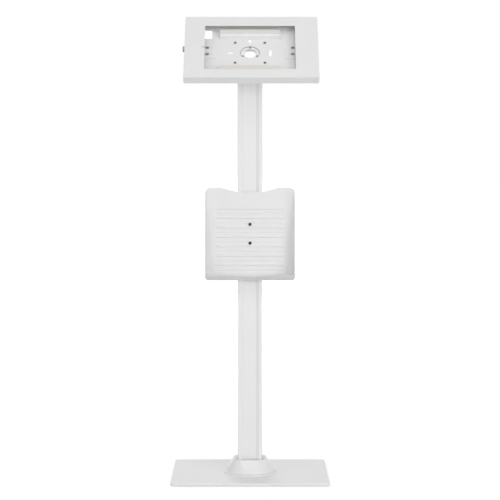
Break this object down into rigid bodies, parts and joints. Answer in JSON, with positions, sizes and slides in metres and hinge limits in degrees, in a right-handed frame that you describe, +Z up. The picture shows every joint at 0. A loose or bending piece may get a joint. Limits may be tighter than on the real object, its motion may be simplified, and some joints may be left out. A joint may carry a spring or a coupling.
{
  "type": "tablet floor stand",
  "caption": "White floor stand with a weighted base, profiled column, leaflet holder and a tilting, turning, lockable tablet enclosure.",
  "frame": {"origin": "on the floor under the middle of the base plate", "axes": "+Z up, front of the stand faces -Y, +X to the right of somebody in front of it"},
  "size_m": [0.4, 0.3, 1.1798],
  "materials": {
    "painted_base": "semi-gloss white powder coat",
    "painted_column": "satin white powder coat",
    "painted_trim": "smooth white",
    "painted_steel": "satin white powder coat",
    "white_plastic": "fine moulded white",
    "rubber": "matt black",
    "zinc_steel": "zinc plated",
    "bare_aluminium": "machined",
    "black_screw": "black oxide",
    "nickel": "satin nickel",
    "washer_plastic": "dark nylon",
    "foam": "closed-cell white foam",
    "liner": "pale beige facing"
  },
  "bodies": {
    "stand": {"base_plate": "painted_base", "rubber_feet": "rubber", "base_bolts": "zinc_steel", "foot_block": "bare_aluminium", "column_profile": "painted_column", "column_side_screws": "zinc_steel", "rear_cable_cover": "white_plastic", "cable_grommet": "rubber", "foot_cover": "painted_trim", "top_block": "bare_aluminium", "brochure_holder": "white_plastic", "holder_spacer": "white_plastic", "holder_nut_plate": "zinc_steel", "holder_screws": "black_screw", "head_bracket": "painted_steel", "bracket_screws": "zinc_steel", "tilt_bolts": "zinc_steel"},
    "tilt_head": {"tilt_yoke": "painted_steel", "tilt_friction_washers": "washer_plastic"},
    "cover": {"enclosure_cover": "painted_steel", "lock_housing": "nickel", "lock_nut": "zinc_steel"},
    "lock": {"lock_plug": "nickel", "lock_cam": "zinc_steel", "cam_screw": "zinc_steel"},
    "left_support": {"left_clamp": "painted_steel", "left_clamp_pad": "rubber"},
    "right_support": {"right_clamp": "painted_steel", "right_clamp_pad": "rubber"},
    "enclosure": {"enclosure_tray": "painted_steel", "hinge_pins": "zinc_steel", "lock_strike": "painted_steel", "vesa_plate": "painted_steel", "vesa_screws": "nickel", "rotation_hub": "bare_aluminium", "ring_screws": "nickel", "front_friction_washer": "washer_plastic", "rear_friction_washer": "washer_plastic", "hub_lock_ring": "bare_aluminium", "rotation_stop_pin": "zinc_steel", "left_clamp_screws": "zinc_steel", "right_clamp_screws": "zinc_steel", "upper_foam_strip": "foam", "lower_foam_strip": "foam", "foam_liners": "liner"}
  },
  "joints": [
    {"name": "enclosure_tilt", "type": "hinge", "parent": "stand", "child": "tilt_head", "pos_m": [0, -0.0005, 1.0745], "axis": [1, 0, 0], "range_deg": [-40, 35]},
    {"name": "enclosure_rotation", "type": "hinge", "parent": "tilt_head", "child": "enclosure", "pos_m": [0, -0.03939, 1.08313], "axis": [0, -0.7071, 0.7071], "range_deg": [0, 90]},
    {"name": "cover_hinge", "type": "hinge", "parent": "enclosure", "child": "cover", "pos_m": [0.163, -0.03925, 1.0885], "axis": [0, 0.7071, 0.7071], "range_deg": [0, 110]},
    {"name": "lock_turn", "type": "hinge", "parent": "cover", "child": "lock", "pos_m": [-0.165, -0.0437, 1.09295], "axis": [1, 0, 0], "range_deg": [0, 90]},
    {"name": "left_clamp_slide", "type": "slide", "parent": "enclosure", "child": "left_support", "axis": [1, 0, 0], "range_m": [-0.008, 0.009]},
    {"name": "right_clamp_slide", "type": "slide", "parent": "enclosure", "child": "right_support", "axis": [-1, 0, 0], "range_m": [-0.008, 0.009]}
  ]
}
